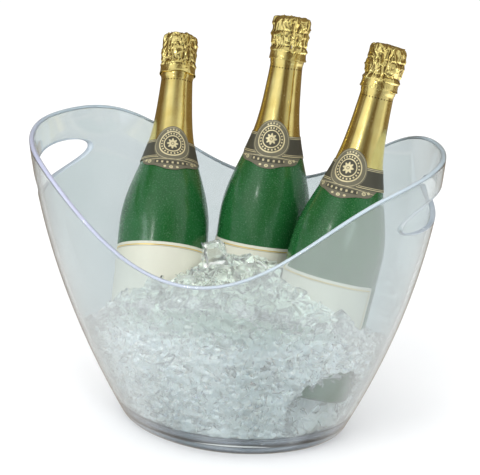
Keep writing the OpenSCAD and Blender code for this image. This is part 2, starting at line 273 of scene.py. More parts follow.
def mat_label(name, base, dark, gold):
    m = Mat(name, base=base, rough=0.5)
    m.own = True
    g, d = m.attr("gold"), m.attr("dark")
    fib = m.noise(500, 4, 0.6)
    col = m.mixc(m.maprange(fib, 0.3, 0.7, 0, 0.14), base, tuple(c * 0.84 for c in base))
    col = m.mixc(d, col, dark)
    col = m.mixc(g, col, gold)
    m.to(col, "Base Color")
    m.to(m.math("MULTIPLY", g, 0.45), "Metallic")
    m.to(m.maprange(g, 0, 1, 0.55, 0.3), "Roughness")
    h = m.math("ADD", m.math("MULTIPLY", fib, 0.15), g)
    m.bump(h, 0.25, 0.0002)
    return m

def mat_ice(name, trans, rough, base=(0.86, 0.92, 0.94), sss=0.0):
    m = Mat(name, base=base, rough=rough, ior=1.31, trans=trans)
    if sss:
        m.set("sss", sss); m.set("sssr", (0.9, 1.0, 1.1)); m.set("ssss", 0.004)
    n = m.noise(190, 4, 0.6)
    lowc = tuple(c * (0.90 if trans < 0.5 else 0.97) for c in base)
    col = m.ramp(m.noise(70, 5, 0.65), [(0.3, lowc), (0.7, base)])
    if sss:
        # crushed grains: paler at their broken rims, greyer and clearer inside
        vo = m.node("ShaderNodeTexVoronoi", feature="DISTANCE_TO_EDGE"); vo.inputs["Scale"].default_value = 150
        m.link(m.coords(), vo.inputs["Vector"])
        col = m.mixc(m.maprange(vo.outputs["Distance"], 0.02, 0.30, 0.0, 0.14), col, tuple(c * 0.74 for c in base))
        # painted glints: small scattered spots pushed almost to white
        col = m.mixc(m.maprange(m.noise(420, 3, 0.6), 0.56, 0.70, 0.0, 0.9), col, (0.96, 0.99, 0.99))
        n = m.math("ADD", m.math("MULTIPLY", n, 0.6), m.math("MULTIPLY", m.noise(420, 3, 0.6), 0.6))
    # darker and greyer towards the floor of the bucket
    sep = m.node("ShaderNodeSeparateXYZ"); m.link(m.coords(), sep.inputs[0])
    col = m.mixc(m.maprange(sep.outputs["Z"], 0.015, 0.115, 0.26, 0.0), col, tuple(c * k for c, k in zip(base, (0.60, 0.66, 0.68))))
    if sss:    # greyer and a little green at the top of the heap
        col = m.mixc(m.maprange(sep.outputs["Z"], 0.128, 0.158, 0.0, 1.0), col, tuple(c * k for c, k in zip(base, (0.62, 0.67, 0.61))))
    m.to(col, "Base Color")
    m.bump(n, 0.5 if sss else 0.25, 0.0012)
    m.to(m.maprange(n, 0.3, 0.7, rough * 0.5, rough * 1.8), "Roughness")
    return m

# ---------------------------------------------------------------- bucket
def build_bucket():
    NA, NV, Z0 = 288, 80, 12.0
    a = np.arange(NA) * 2 * np.pi / NA
    V, F = [], []
    def add(p):
        i = len(V); V.extend(list(p)); return np.arange(i, i + len(p))
    def band(r0, r1, flip=False, skip=None):
        for i in range(NA):
            if skip is not None and skip[i]: continue
            j = (i + 1) % NA
            F.append((r0[i], r0[j], r1[j], r1[i]))
    W = 5.0
    # underside with a shallow recess inside the foot ring
    c0 = add([np.array([0, 0, 1.5])])[0]
    rings = [add(pt(a, 1.5, 60)), add(pt(a, 1.5, 22)), add(pt(a, 1.2, 19.6)), add(pt(a, 0.3, 18.4)), add(pt(a, 0.0, 17.6))]
    for f in np.linspace(0, 90, 10):
        f = math.radians(f)
        rings.append(add(pt(a, 10 * (1 - math.cos(f)), 10 * (1 - math.sin(f)))))
    for i in range(NA):
        F.append((c0, rings[0][(i + 1) % NA], rings[0][i]))
    for k in range(len(rings) - 1): band(rings[k + 1], rings[k])
    lower = rings[-1]
    # wall surfaces as grids with a block left open at each end
    CI = 30                       # half width of the block in columns
    J0, J1 = int(NV * 0.70), int(NV * 0.955)
    v = np.linspace(0, 1, NV + 1)
    blk = np.zeros(NA, bool)
    for c in (0, NA // 2):
        for k in range(-CI, CI): blk[(c + k) % NA] = True
    def wall_grid(d, zbase):
        rows = []
        for s in v:
            z = zbase + (rim(a) - zbase - 2.5) * s
            rows.append(add(pt(a, z, d)))
        return rows
    outer = wall_grid(0.0, Z0); inner = wall_grid(W, 26.0)
    band(outer[0], lower)
    for k in range(NV):
        sk = blk if J0 <= k < J1 else None
        band(outer[k + 1], outer[k], skip=sk)
        band(inner[k], inner[k + 1], skip=sk)
    # rim
    prev = outer[-1]
    for f in np.linspace(0, 180, 13)[1:-1]:
        f = math.radians(f)
        r = add(pt(a, rim(a) - 2.5 + 2.5 * math.sin(f), W / 2 * (1 - math.cos(f))))
        band(r, prev); prev = r
    band(inner[-1], prev)
    # floor
    prev = inner[0]
    for f in np.linspace(0, 90, 9)[1:]:
        f = math.radians(f)
        r = add(pt(a, 14 + 12 * (1 - math.sin(f)), W + 12 * (1 - math.cos(f))))
        band(prev, r); prev = r
    r = add(pt(a, 14.0, 62)); band(prev, r)
    c1 = add([np.array([0, 0, 14.0])])[0]
    for i in range(NA): F.append((c1, r[i], r[(i + 1) % NA]))
    edge_faces = []
    # handle holes: O-grid from the block's edge to a lens outline
    HZ, HW, HH, HP = 244.5, 64.0, 14.5, 2.07
    ph = np.linspace(0, 2 * np.pi, 4001)
    oy, oz = HW * spow(np.cos(ph), 2 / HP), HH * spow(np.sin(ph), 2 / HP)
    seg = np.hypot(np.diff(oy), np.diff(oz))
    tang = np.unwrap(np.arctan2(np.diff(oz), np.diff(oy)))
    turn = np.abs(np.diff(np.concatenate([tang, [tang[0] + 2 * np.pi]])))
    w = seg / seg.sum() + 0.8 * turn / turn.sum()
    cum = np.concatenate([[0], np.cumsum(w)])
    def quad_param(n):
        """n+1 outline parameters for one quarter"""
        out = []
        for q in range(4):
            i0, i1 = q * 1000, (q + 1) * 1000
            cc = cum[i0:i1 + 1]
            t = np.linspace(cc[0], cc[-1], n + 1)[:-1]
            out.extend(np.interp(t, cc, ph[i0:i1 + 1]))
        return np.array(out)
    for side in (1, -1):
        c = 0 if side > 0 else NA // 2
        def perim(rows):
            """block edge, starting at +y middle of the right edge, going up and over, as grid ids"""
            jm = (J0 + J1) // 2
            cols = [(c + k) % NA for k in range(-CI, CI + 1)]
            plus, minus = (cols[-1], cols[0]) if side > 0 else (cols[0], cols[-1])
            ids = [rows[j][plus] for j in range(jm, J1)]
            order = cols[::-1] if side > 0 else cols
            ids += [rows[J1][q] for q in order[:-1]]
            ids += [rows[j][minus] for j in range(J1, J0, -1)]
            ids += [rows[J0][q] for q in order[::-1][:-1]]
            ids += [rows[j][plus] for j in range(J0, jm)]
            return ids
        po, pi_ = perim(outer), perim(inner)
        n = len(po)
        # outline parameter for each edge point, quarter by quarter
        P = np.array([V[i] for i in po])
        jm = (J0 + J1) // 2
        marks = [0, (J1 - jm) + CI, (J1 - jm) + 2 * CI + (J1 - J0) // 2, 0, n]
        marks[2] = (J1 - jm) + 2 * CI + (J1 - jm)
        marks[3] = marks[2] + (jm - J0) + CI
        par = np.zeros(n)
        for q in range(4):
            i0, i1 = q * 1000, (q + 1) * 1000
            cc = cum[i0:i1 + 1]
            k = marks[q + 1] - marks[q]
            par[marks[q]:marks[q + 1]] = np.interp(np.linspace(cc[0], cc[-1], k + 1)[:-1], cc, ph[i0:i1 + 1])
        def outline(par, grow):
            hw, hh = HW + grow, HH + grow
            return hw * spow(np.cos(par), 2 / HP), HZ + hh * spow(np.sin(par), 2 / HP)
        R = 1.5
        def ogrid(ids, d, flip):
            P = np.array([V[i] for i in ids])
            y1, z1 = outline(par, R)
            prev = np.array(ids)
            L = 16
            for k in range(1, L + 1):
                t = 1 - (1 - k / L) ** 1.25
                y = P[:, 1] * (1 - t) + y1 * t; z = P[:, 2] * (1 - t) + z1 * t
                cur = add(np.stack([side * end_x(y, z, d), y, z], -1))
                for i in range(n):
                    j = (i + 1) % n
                    F.append((prev[i], prev[j], cur[j], cur[i]))
                prev = cur
            return prev
        ro, ri = ogrid(po, 0.0, False), ogrid(pi_, W, True)
        prev = ro; first = len(F)
        prof = [(R * (1 - math.sin(f)), R * (1 - math.cos(f))) for f in np.radians([22.5, 45, 67.5, 90])]
        prof += [(0.0, 2.5)] + [(g, W - dd) for g, dd in prof[::-1]]
        for g, dd in prof:
            y, z = outline(par, g)
            cur = add(np.stack([side * end_x(y, z, dd), y, z], -1))
            for i in range(n):
                j = (i + 1) % n
                F.append((prev[i], prev[j], cur[j], cur[i]))
            prev = cur
        for i in range(n):
            j = (i + 1) % n
            F.append((prev[i], prev[j], ri[j], ri[i]))
        edge_faces += list(range(first, len(F)))
    ob = new_obj("bucket_shell", np.array(V) * MM, F)
    # drop the unused grid points inside the blocks
    bm = bmesh.new(); bm.from_mesh(ob.data)
    bmesh.ops.delete(bm, geom=[x for x in bm.verts if not x.link_faces], context="VERTS")
    bmesh.ops.recalc_face_normals(bm, faces=bm.faces)
    bm.to_mesh(ob.data); bm.free()
    for p in ob.data.polygons: p.use_smooth = True
    assign(ob, mat_acrylic())
    # painted light: the hole edges get a part-opaque grey-blue for the light they carry
    ob.data.materials.append(mat_edge("hole_edge_painted_light", (0.50, 0.58, 0.66), (0.66, 0.74, 0.82), 0.45).m)
    for k in edge_faces: ob.data.polygons[k].material_index = 1
    ob.visible_shadow = False
    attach(ob, "bucket"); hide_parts("bucket")
    # painted highlight: the light that the polished rim carries is painted on a slim pale core just under its crown
    V, F, n = [], [], 14
    a = np.arange(NA) * 2 * np.pi / NA
    for k in range(n):
        t = 2 * math.pi * k / n
        V.extend(pt(a, rim(a) - 1.75 + 1.25 * math.sin(t), 2.5 - 1.95 * math.cos(t)))
    for k in range(n):
        for i in range(NA):
            j, q = (i + 1) % NA, (k + 1) % n
            F.append((k * NA + i, k * NA + j, q * NA + j, q * NA + i))
    core = new_obj("rim_highlight_core", np.array(V) * MM, F); recalc(core)
    core.visible_shadow = False
    assign(core, mat_rim())
    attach(core, "bucket")
    # painted shade, made the same way in the thick floor: a dark grey-lavender ring inside the foot
    sec = [(5.6, 1.8), (7.5, 1.3), (26, 1.9), (30, 4.5), (26, 9.5), (9.5, 11.6), (4.6, 11.2), (2.4, 9.0), (2.6, 6.0), (3.8, 3.4)]
    V, F = [], []
    for d, z in sec: V.extend(pt(a, np.full(NA, float(z)), d + 2.6 * max(0, (5 - z) / 5)))
    n = len(sec)
    for k in range(n):
        for i in range(NA):
            j, q = (i + 1) % NA, (k + 1) % n
            F.append((k * NA + i, k * NA + j, q * NA + j, q * NA + i))
    foot = new_obj("foot_shade_core", np.array(V) * MM, F); recalc(foot)
    foot.visible_shadow = False
    assign(foot, mat_edge("foot_painted_shade", (0.20, 0.25, 0.29), (0.28, 0.32, 0.39), 0.15))
    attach(foot, "bucket")
    return ob

build_bucket()

# ---------------------------------------------------------------- bottles
BODY_R, GH = 44.0, 314.0
POSE = {
    "left": ((-75, -22.2, 59.4), (-32.9, -5.6), 22.4),
    "middle": ((3, 32, 56.5), (-16.47, 3.3), 2.4),
    "right": ((73, -24, 56), (-18.56, 9.4), -13.7),
}
def place(which):
    p, (rx, ry), tw = POSE[which]
    return (Matrix.Translation(Vector(p) * MM) @ Matrix.Rotation(math.radians(ry), 4, "Y")
            @ Matrix.Rotation(math.radians(rx), 4, "X") @ Matrix.Rotation(math.radians(tw), 4, "Z"))
AXIS = {k: (np.array(POSE[k][0], float), np.array((place(k).to_3x3() @ Vector((0, 0, 1)))[:])) for k in POSE}
LIFT = {k: AXIS[k][1] for k in POSE}
LIFT["left"] = np.array([-0.05, 0.2, 1]) / np.linalg.norm([-0.05, 0.2, 1])

SH = [(44, 188), (43.9, 178), (43.3, 170), (42.2, 162), (40.6, 154), (38.5, 146), (36, 138), (33.3, 130), (30.5, 122),
      (27.8, 114), (25.3, 106), (23.1, 98), (21.3, 90), (19.9, 82), (18.8, 74), (17.9, 66), (17.2, 58), (16.6, 50), (16, 42), (15.5, 34)]
shz = np.array([GH - d for r, d in SH]); shr = np.array([min(r, BODY_R) for r, d in SH])
zz = np.linspace(shz[0] - 12, shz[-1] + 4, 400)
rr = np.interp(zz, np.concatenate([[shz[0] - 20], shz, [GH - 28]]), np.concatenate([[BODY_R], shr, [15.2]]))
k = np.exp(-np.linspace(-3, 3, 41) ** 2 / 2); k /= k.sum()
rr = np.convolve(np.pad(rr, 20, mode="edge"), k, "valid")
def glass_r(z):
    """outer radius of the glass (mm) below the wire collar"""
    return np.where(z < zz[0], BODY_R, np.interp(z, zz, rr))

def lathe(name, prof, seg, matrix, disp=None, smooth=True):
    """prof: (r, z) list in mm, closed loop if first == last"""
    prof = list(prof)
    V, F, ids = [], [], []
    th = np.arange(seg) * 2 * np.pi / seg - np.pi / 2
    for r, z in prof:
        if r < 1e-6:
            ids.append([len(V)]); V.append((0, 0, z))
        else:
            ids.append(list(range(len(V), len(V) + seg)))
            V.extend(np.stack([r * np.cos(th), r * np.sin(th), np.full(seg, z)], -1))
    for a_, b_ in zip(ids[:-1], ids[1:]):
        for i in range(seg):
            j = (i + 1) % seg
            if len(a_) == 1 and len(b_) == 1: continue
            if len(a_) == 1: F.append((a_[0], b_[j], b_[i]))
            elif len(b_) == 1: F.append((a_[i], a_[j], b_[0]))
            else: F.append((a_[i], a_[j], b_[j], b_[i]))
    V = np.array(V, float)
    if disp is not None: V = disp(V)
    ob = new_obj(name, V * MM, F, smooth, matrix)
    recalc(ob)
    return ob

def glass_profile():
    out = [(0, 28)]
    bz = np.array([0, 8, 16, 24, 30, 34, 36.4, 38.6]); bh = np.array([28, 26.6, 22.4, 15.8, 9.4, 4, 1.1, 0])
    for r in np.linspace(2, 38, 16): out.append((r, float(np.interp(r, bz, bh))))
    for f in np.linspace(-60, 90, 12):
        f = math.radians(f)
        out.append((38.2 + 5.8 * math.sin(f) if f > 0 else 38.2 + 2.2 * math.sin(f), 6.0 * (1 - math.cos(f)) if f > 0 else 0.9 * (1 - math.cos(f))))
    out += [(BODY_R, z) for z in (12, 30, 60, 90, 110)]
    for z in np.arange(118, GH - 34, 3.0): out.append((float(glass_r(z)), z))
    L = GH
    out += [(15.25, L - 30), (15.3, L - 28), (15.9, L - 26.6), (16.05, L - 24.5), (16, L - 22.4), (15, L - 20.4), (13.9, L - 19), (13.9, L - 12),
            (14.6, L - 10.4), (14.75, L - 6), (14.7, L - 2.4), (13.9, L - 0.5), (12.6, L), (9.4, L), (9.05, L - 0.5), (9.05, L - 38), (10.4, L - 48)]
    for z in np.arange(GH - 52, 120, -6.0): out.append((float(glass_r(z)) - (4.6 if z > GH - 92 else 4.1), z))
    out += [(40.6, 112), (40.6, 60), (40.6, 18), (39.5, 14), (38, 12.1), (35.4, 12.5), (32, 15.6), (26, 21), (18, 27), (9, 31.4), (0, 33)]
    return out

def hood_disp(seed):
    """crumples the foil hood: wire legs, cage ring, pressed folds and dents"""
    r0 = np.random.default_rng(seed)
    legs = np.radians(np.array([20, 110, 200, 290]) + r0.uniform(-6, 6, 4))
    def f(V):
        th = np.arctan2(V[:, 1], V[:, 0]); r = np.hypot(V[:, 0], V[:, 1]); z = V[:, 2]
        out = V.copy()
        s = np.stack([np.cos(th) * 18, np.sin(th) * 18, z * 0.55], -1)
        top = np.clip((z - (GH + 11)) / 4, 0, 1)
        s = s * (1 - top[:, None]) + np.stack([V[:, 0], V[:, 1], z * 0 + (GH + 11) * 0.55], -1) * top[:, None]
        q1 = pnoise(s, 0.10, seed); w = np.stack([q1 * 7, -q1 * 6, q1 * 5], -1)
        q2 = pnoise(s + w, 0.095, seed + 1); q3 = pnoise(s + w, 0.19, seed + 2); q4 = pnoise(s, 0.6, seed + 3)
        ridge = 1 - np.minimum(np.abs(q2) * 4.2, 1)            # sharp folds where the noise crosses nought
        ridge2 = 1 - np.minimum(np.abs(q3) * 4.2, 1)
        upz = smoothstep(z, GH - 19, GH - 11)
        d = 1.1 * ridge ** 2 + 0.5 * ridge2 ** 2 + 1.1 * q1 + 0.12 * q4 - 0.8
        d = d * (0.18 + 0.95 * upz)
        for l in legs:
            dd = np.angle(np.exp(1j * (th - l)))
            band = np.clip((z - (GH - 18)) / 4, 0, 1)
            d = d + (0.85 * np.exp(-(dd / 0.07) ** 2) - 0.45 * np.exp(-((np.abs(dd) - 0.19) / 0.08) ** 2)) * band
        d = d + 0.75 * np.exp(-((z - (GH - 15.6)) / 1.2) ** 2) - 0.95 * np.exp(-((z - (GH - 11.8)) / 1.7) ** 2)
        d = d + 0.35 * np.exp(-((z - (GH - 1.5)) / 1.6) ** 2) - 0.5 * np.exp(-((z - (GH + 2.2)) / 1.3) ** 2)
        side = r > 10
        scale = np.where(side, 1 + d / np.maximum(r, 6), 1 + 0.2 * d / 10)
        out[:, 0] *= scale; out[:, 1] *= scale
        out[:, 2] += np.where(z > GH + 12, 0.55 * d, 0.0)
        low = np.clip((GH - 21 - z) / 3, 0, 1)
        out[:, 2] += low * (0.45 * np.sin(5 * th + seed) + 0.8 * q3 - 0.3)
        grow = low * (0.35 * np.sin(3 * th + seed) + 0.25)
        out[:, 0] *= 1 + grow / 18; out[:, 1] *= 1 + grow / 18
        return out, d
    return f

def cavity(ob, it=10):
    """how deep each vertex lies below its smoothed surroundings, 0..1"""
    me = ob.data; n = len(me.vertices)
    co = np.zeros(n * 3, np.float32); me.vertices.foreach_get("co", co); co = co.reshape(-1, 3).astype(float)
    nr = np.zeros(n * 3, np.float32); me.vertices.foreach_get("normal", nr); nr = nr.reshape(-1, 3)
    e = np.zeros(len(me.edges) * 2, np.int32); me.edges.foreach_get("vertices", e); e = e.reshape(-1, 2)
    deg = np.bincount(e.ravel(), minlength=n)[:, None]
    s = co.copy()
    for _ in range(it):
        acc = np.zeros_like(s)
        np.add.at(acc, e[:, 0], s[e[:, 1]]); np.add.at(acc, e[:, 1], s[e[:, 0]])
        s = acc / np.maximum(deg, 1)
    return ((s - co) * nr).sum(1) / MM

def build_bottle(w):
    M = place(w)
    g = lathe("glass_" + w, glass_profile(), 128, M)
    settle(g); assign(g, GLASS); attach(g, "bottle_" + w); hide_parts("bottle_" + w)
    # neck foil: soft vertical creases, dotted tear line left to the material
    seed = {"left": 3, "middle": 8, "right": 5}[w]
    zs = np.append(np.arange(GH - 114, GH - 23, 1.5), GH - 22.0)
    prof = [(float(glass_r(z) if z < GH - 30 else np.interp(z, [GH - 30, GH - 28, GH - 26.5, GH - 22], [15.35, 15.6, 16.1, 16.1])) + 0.35, z) for z in zs]
    inner = [(r - 0.22, z) for r, z in prof][::-1]
    loop = prof + inner + [prof[0]]
    def fdisp(V):
        th = np.arctan2(V[:, 1], V[:, 0]); z = V[:, 2]
        s = np.stack([np.cos(th) * 9, np.sin(th) * 9, z * 0.05], -1)
        d = 0.10 * pnoise(s, 0.45, seed)
        s2 = np.stack([np.cos(th) * 16, np.sin(th) * 16, z * 0.25], -1)
        d += 0.05 * pnoise(s2, 0.4, seed + 4)
        # overlap seam down one side
        c = {"left": 1.05, "middle": 0.62, "right": -0.3}[w] - np.pi / 2
        dd = np.angle(np.exp(1j * (th - c)))
        d += 0.16 / (1 + np.exp(-dd / 0.012)) * np.clip(1 - dd / 1.2, 0, 1) - 0.02
        out = V.copy(); r = np.hypot(V[:, 0], V[:, 1])
        out[:, 0] *= 1 + d / r; out[:, 1] *= 1 + d / r
        return out
    nf = lathe("foil_neck_" + w, loop, 192, M, fdisp)
    settle(nf); assign(nf, FOIL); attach(nf, "bottle_" + w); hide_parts("neck_foil_" + w)
    # hood
    L = GH
    hz = np.linspace(L - 24.2, L + 11, 96)
    hr = np.interp(hz, [L - 24, L - 22.5, L - 16, L - 8, L, L + 11], [17.9, 17.6, 17.3, 17.5, 17.9, 18.0])
    outer = list(zip(hr, hz))
    for f in np.linspace(0, 90, 14)[1:]:
        f = math.radians(f)
        outer.append((18.0 - 5.2 * (1 - math.cos(f)), L + 11 + 5.6 * math.sin(f)))
    for r in np.linspace(11.6, 0.8, 12): outer.append((r, L + 17.3 - 0.012 * (r - 2) ** 2 * 0.3))
    outer.append((0, L + 17.4))
    inner = [(max(r - 0.4, 0), z - (0.4 if z > L + 11 else 0)) for r, z in outer[::-1]]
    fn = hood_disp(seed)
    hood = lathe("foil_hood_" + w, outer, 224, M, lambda V: fn(V)[0])
    # painted shade mask: how deep each point of the hood lies in a crease
    cav = cavity(hood)
    attr(hood, "cav", np.clip(cav / 0.15, 0, 1))
    sol = hood.modifiers.new("thick", "SOLIDIFY"); sol.thickness = 0.0003; sol.offset = -1
    settle(hood); assign(hood, HOOD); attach(hood, "stopper_" + w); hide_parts("hood_" + w)
    # labels
    build_neck_label(w, M); build_body_label(w, M)

def cdt(outline, step):
    """fills a 2-D outline with an even triangle mesh"""
    o = np.array(outline)
    lo, hi = o.min(0), o.max(0)
    gx, gy = np.meshgrid(np.arange(lo[0] + step, hi[0], step), np.arange(lo[1] + step, hi[1], step))
    pts = np.stack([gx.ravel() + (np.round(gy.ravel() / step) % 2) * step / 2, gy.ravel()], -1)
    inside = np.zeros(len(pts), bool)
    a_, b_ = o, np.roll(o, -1, 0)
    for (x0, y0), (x1, y1) in zip(a_, b_):
        c = ((y0 > pts[:, 1]) != (y1 > pts[:, 1]))
        with np.errstate(divide="ignore", invalid="ignore"):
            xi = (x1 - x0) * (pts[:, 1] - y0) / (y1 - y0) + x0
        inside ^= c & (pts[:, 0] < xi)
    pts = pts[inside]
    # keep clear of the edge
    keep = np.ones(len(pts), bool)
    for (x0, y0), (x1, y1) in zip(a_, b_):
        d = np.array([x1 - x0, y1 - y0]); l2 = (d ** 2).sum() + 1e-9
        t = np.clip(((pts - [x0, y0]) @ d) / l2, 0, 1)
        keep &= np.hypot(*(pts - ([x0, y0] + t[:, None] * d)).T) > step * 0.35
    pts = pts[keep]
    allp = [Vector(p) for p in o] + [Vector(p) for p in pts]
    n = len(o)
    vs, es, fs, *_ = delaunay_2d_cdt(allp, [(i, (i + 1) % n) for i in range(n)], [list(range(n))], 1, 1e-6)
    return np.array([v[:] for v in vs]), fs

MZ = 213.5
R0 = 24.3   # radius used to flatten the neck label
def line(d, w, s=0.12):
    return 1 - smoothstep(np.abs(d), w / 2 - s, w / 2 + s)

def build_neck_label(w, M):
    # outline in (arc length, height about the medallion)
    pts = []
    def arc(cx, cy, r, a0, a1, n):
        return [(cx + r * math.cos(math.radians(t)), cy + r * math.sin(math.radians(t))) for t in np.linspace(a0, a1, n)]
    band_t, band_b = 4.5, -15.5
    W_ = math.pi * R0 * 0.985
    RM = 18.2
    a1 = math.degrees(math.asin(band_t / RM))
    top = arc(0, 0, RM, a1, 180 - a1, 60)
    low = [(-30, -15.5), (-27, -18.3), (-23.5, -21.8), (-19.5, -23.2), (-15.5, -23.6), (-11.5, -24.4), (-8, -25.9), (-4.5, -27.6), (0, -28.2)]
    low = low + [(-x, y) for x, y in low[-2::-1]]
    low = np.array(low)
    t = np.linspace(0, len(low) - 1, 90)
    lowc = np.stack([np.interp(t, np.arange(len(low)), low[:, 0]), np.interp(t, np.arange(len(low)), low[:, 1])], -1)
    kk = np.array([1, 3, 5, 7, 5, 3, 1.0]); kk /= kk.sum()
    sm = lowc.copy()
    for c in (0, 1): sm[3:-3, c] = np.convolve(lowc[:, c], kk, "valid")
    O = [(W_, band_b), (W_, band_t)] + [(x, band_t) for x in np.linspace(W_, RM * math.cos(math.radians(a1)), 40)[1:-1]] + top
    O += [(x, band_t) for x in np.linspace(-RM * math.cos(math.radians(a1)), -W_, 40)[1:-1]] + [(-W_, band_t), (-W_, band_b)]
    O += [(x, band_b) for x in np.linspace(-W_, -30, 40)[1:-1]] + [tuple(p) for p in sm] + [(x, band_b) for x in np.linspace(30, W_, 40)[1:-1]]
    P, F = cdt(O, 0.8)
    # one refinement for crisp printing
    ob = new_obj("label_neck_" + w, np.c_[P, np.zeros(len(P))] , F, True)
    bm = bmesh.new(); bm.from_mesh(ob.data)
    bmesh.ops.subdivide_edges(bm, edges=bm.edges[:], cuts=2, use_grid_fill=True)
    bmesh.ops.triangulate(bm, faces=bm.faces)
    bm.to_mesh(ob.data); bm.free()
    n = len(ob.data.vertices)
    co = np.zeros(n * 3, np.float32); ob.data.vertices.foreach_get("co", co); co = co.reshape(-1, 3).astype(float)
    u, v = co[:, 0], co[:, 1]
    gold, dark = neck_print(u, v)
    z = MZ + v
    ph = u / R0 - np.pi / 2
    r = glass_r(z) + 0.85
    X = np.stack([r * np.cos(ph), r * np.sin(ph), z], -1) * MM
    ob.data.vertices.foreach_set("co", X.astype(np.float32).ravel())
    ob.data.update()
    ob.matrix_world = M
    attr(ob, "gold", gold); attr(ob, "dark", dark)
    for p in ob.data.polygons: p.use_smooth = True
    recalc_out(ob)
    sol = ob.modifiers.new("paper", "SOLIDIFY"); sol.thickness = 0.00022; sol.offset = -1
    settle(ob); assign(ob, NLABEL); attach(ob, "bottle_" + w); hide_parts("neck_label_" + w)

def recalc_out(ob):
    """faces point away from the bottle's axis"""
    me = ob.data
    s = 0.0
    for p in me.polygons[:400]:
        s += p.normal.x * p.center.x + p.normal.y * p.center.y
    if s < 0: me.flip_normals()

def neck_print(u, v):
    r = np.hypot(u, v); th = np.arctan2(v, u)
    gold = np.zeros_like(u); dark = np.zeros_like(u)
    disc = r < 18.3
    inband = (~disc) & (v > -15.6) & (v < 4.6)
    dark = np.where(inband, 0.95, dark)
    for y, wd in ((3.6, 0.5), (2.2, 0.35), (-13.2, 0.4), (-14.6, 0.5)):
        gold = np.maximum(gold, np.where(inband, line(v - y, wd), 0))
    # medallion
    dark = np.where(disc & (r < 12.4), 0.75, dark)
    dark = np.where(disc & (r < 8.0), 0.9, dark)
    gold = np.maximum(gold, np.where(disc, line(r - 12.6, 1.15), 0))
    gold = np.maximum(gold, np.where(disc, line(r - 8.2, 0.95), 0))
    gold = np.maximum(gold, np.where(disc, 0.6 * line(r - 16.9, 0.4), 0))
    # wreath of beads between the rings
    beads = line(r - 10.4, 1.5, 0.3) * smoothstep(np.sin(th * 22), -0.1, 0.5)
    gold = np.maximum(gold, 0.95 * beads)
    # plain rosette in the middle
    ros = smoothstep(5.6 * (0.62 + 0.38 * np.cos(4 * th) ** 2) - r, -0.3, 0.5) * smoothstep(r, 1.2, 1.8)
    ros = np.maximum(ros, 1 - smoothstep(r, 0.8, 1.1))
    gold = np.maximum(gold, 0.9 * ros)
    # ribbon scroll below, with plain dashes where a real one has words
    low = (v < -15.0) & (np.abs(u) < 31)
    gold = np.where(low, np.maximum(gold, 0.8 * line(v + 16.6 + 0.003 * u ** 2, 0.4)), gold)
    y = v + 20.4 + 0.0045 * u ** 2 * -1
    plate = smoothstep(2.1 - np.abs(y), 0, 0.3) * smoothstep(13.4 - np.abs(u), 0, 0.4)
    dark = np.where(low, np.maximum(dark, plate), dark)
    dash = plate * smoothstep(1.15 - np.abs(y), 0, 0.25) * smoothstep(np.sin(u * 1.55), 0.25, 0.5)
    gold = np.where(low, np.maximum(gold, 0.75 * dash), gold)
    for cx, cy, rr in ((18.0, -19.6, 2.0), (21.8, -18.4, 1.3), (0.0, -25.3, 1.7), (4.6, -24.9, 1.0)):
        c = np.hypot(np.abs(u) - cx, v - cy)
        gold = np.where(low, np.maximum(gold, 0.85 * line(c - rr * 0.62, 0.75)), gold)
        gold = np.where(low, np.maximum(gold, 0.85 * (1 - smoothstep(c, 0.25, 0.5))), gold)
    # small sprigs above the medallion
    for cx, cy in ((0.0, 15.0), (3.4, 14.4), (6.2, 13.0)):
        c = np.hypot(np.abs(u) - cx, v - cy)
        gold = np.maximum(gold, 0.8 * (1 - smoothstep(c, 0.7, 1.1)))
    return gold, dark

def build_body_label(w, M):
    z0, z1, half = 36.0, 112.0, math.radians(85)
    cr = 3.0
    Wd = half * BODY_R
    O = []
    for cx, cy, a0 in ((Wd - cr, z1 - cr, 0), (-Wd + cr, z1 - cr, 90), (-Wd + cr, z0 + cr, 180), (Wd - cr, z0 + cr, 270)):
        for t in np.linspace(a0, a0 + 90, 8):
            O.append((cx + cr * math.cos(math.radians(t)), cy + cr * math.sin(math.radians(t))))
    dense = []
    for (x0, y0), (x1, y1) in zip(O, O[1:] + O[:1]):
        n = max(1, int(math.hypot(x1 - x0, y1 - y0) / 1.6))
        for i in range(n): dense.append((x0 + (x1 - x0) * i / n, y0 + (y1 - y0) * i / n))
    P, F = cdt(dense, 1.6)
    ob = new_obj("label_body_" + w, np.c_[P, np.zeros(len(P))], F, True)
    bm = bmesh.new(); bm.from_mesh(ob.data)
    bmesh.ops.subdivide_edges(bm, edges=bm.edges[:], cuts=3, use_grid_fill=True)
    bmesh.ops.triangulate(bm, faces=bm.faces)
    bm.to_mesh(ob.data); bm.free()
    n = len(ob.data.vertices)
    co = np.zeros(n * 3, np.float32); ob.data.vertices.foreach_get("co", co); co = co.reshape(-1, 3).astype(float)
    u, v = co[:, 0], co[:, 1]
    # thin gold line inside the edge, a dark line just inside it, and a plain emblem
    dx = Wd - np.abs(u); dy = np.minimum(z1 - v, v - z0)
    e = np.minimum(dx, dy)
    gold = line(e - 3.2, 1.0)
    dark = 0.75 * line(e - 4.3, 0.4)
    r = np.hypot(u, v - 74.0); th = np.arctan2(v - 74.0, u)
    em = smoothstep(5.2 * (0.6 + 0.4 * np.cos(2.5 * th) ** 2) - r, -0.2, 0.5)
    gold = np.maximum(gold, em)
    ph = u / BODY_R - np.pi / 2
    lift = 0.42
    X = np.stack([(BODY_R + lift) * np.cos(ph), (BODY_R + lift) * np.sin(ph), v], -1) * MM
    ob.data.vertices.foreach_set("co", X.astype(np.float32).ravel()); ob.data.update()
    ob.matrix_world = M
    attr(ob, "gold", gold); attr(ob, "dark", dark)
    for p in ob.data.polygons: p.use_smooth = True
    recalc_out(ob)
    sol = ob.modifiers.new("paper", "SOLIDIFY"); sol.thickness = 0.00022; sol.offset = -1
    settle(ob); assign(ob, BLABEL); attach(ob, "bottle_" + w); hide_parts("body_label_" + w)

